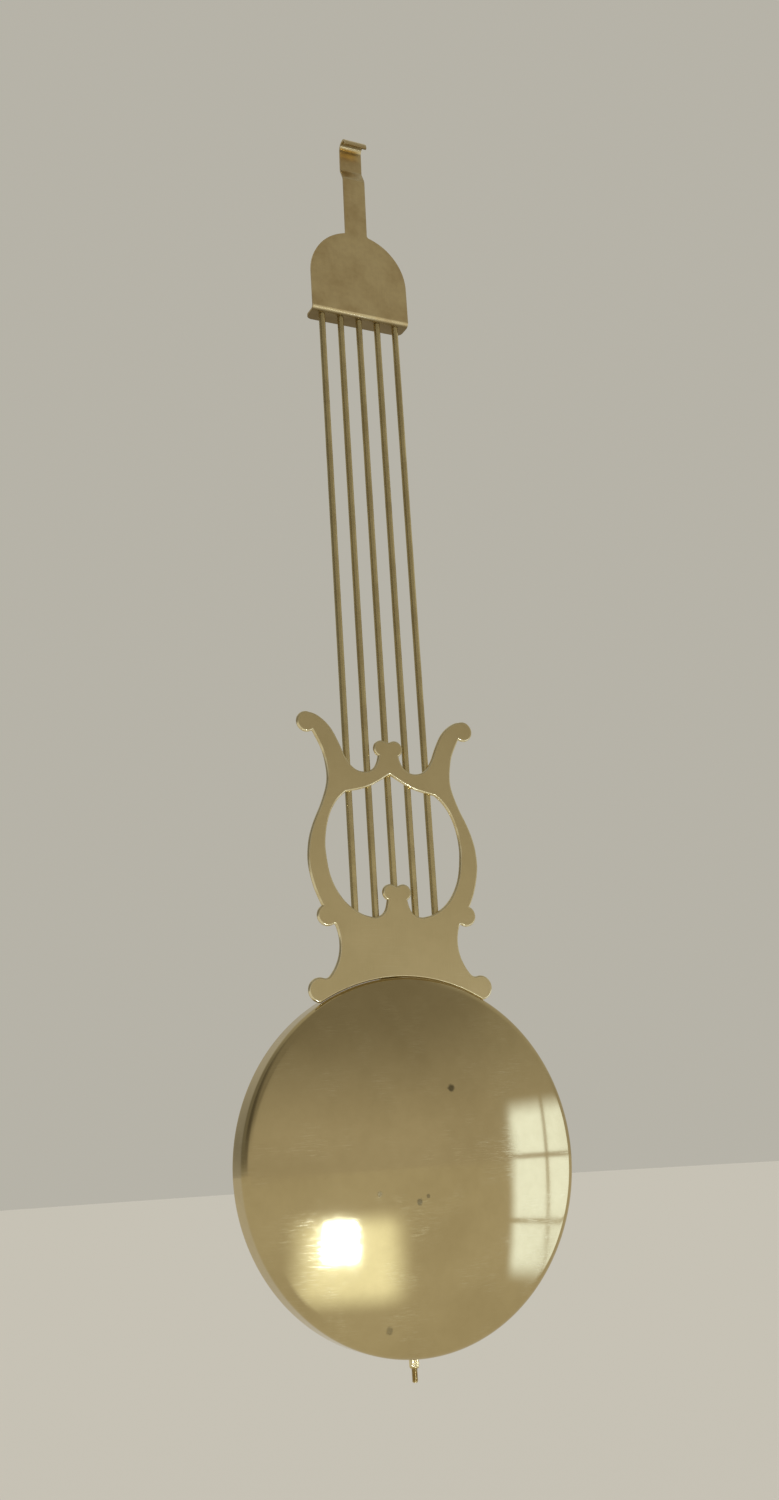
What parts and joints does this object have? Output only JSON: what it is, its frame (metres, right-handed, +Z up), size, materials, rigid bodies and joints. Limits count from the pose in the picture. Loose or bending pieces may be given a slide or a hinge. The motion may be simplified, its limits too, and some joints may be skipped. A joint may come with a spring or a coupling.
{
  "type": "lyre clock pendulum",
  "caption": "Brass lyre pendulum for a long wall or case clock: hooked arched head plate, slim round rods, stamped lyre plate and a domed disc bob that a knurled nut raises and lowers.",
  "frame": {"origin": "axis of the inner curve of the suspension hook, at the middle of the neck's width", "axes": "+Z up, towards the hook; -Y is the front, where the bob's dome and the lyre's face show; +X is to the right seen from the front"},
  "size_m": [0.15, 0.0257, 0.5653],
  "materials": {
    "sheet_brass": "satin sheet, lightly tarnished",
    "rod_brass": "drawn round rod, tarnished",
    "lyre_brass": "satin stamped sheet",
    "bob_brass": "polished spun sheet with faint scratches",
    "back_brass": "dull, as cast or cut",
    "screw_brass": "turned",
    "nut_brass": "turned and knurled",
    "back_steel": "dark oiled sheet",
    "weight_iron": "as cast",
    "screw_steel": "turned"
  },
  "bodies": {
    "frame": {"head_plate": "sheet_brass", "rod_outer_left": "rod_brass", "rod_inner_left": "rod_brass", "rod_centre": "rod_brass", "rod_inner_right": "rod_brass", "rod_outer_right": "rod_brass", "lyre_plate": "lyre_brass", "rod_clamp_bar": "back_brass", "hanger_strap": "back_brass", "strap_screws": "screw_brass", "screw_block": "back_brass", "rating_screw": "screw_brass"},
    "bob": {"bob_shell": "bob_brass", "bob_back_plate": "back_steel", "bob_weight": "weight_iron", "weight_screws": "screw_steel", "upper_guide": "back_brass", "guide_rivets": "screw_brass", "guide_block": "back_brass", "block_screws": "screw_brass"},
    "nut": {"rating_nut": "nut_brass"}
  },
  "joints": [
    {"name": "bob_slide", "type": "slide", "parent": "frame", "child": "bob", "axis": [0, 0, 1], "range_m": [-0.005, 0.0001]},
    {"name": "nut_spin", "type": "hinge", "parent": "bob", "child": "nut", "pos_m": [0, 0.01415, -0.554], "axis": [0, 0, 1], "range_deg": [-4005, 82]}
  ],
  "couplings": [
    {"joint": "nut_spin", "follows": "bob_slide", "rad_per_m": 13963}
  ]
}
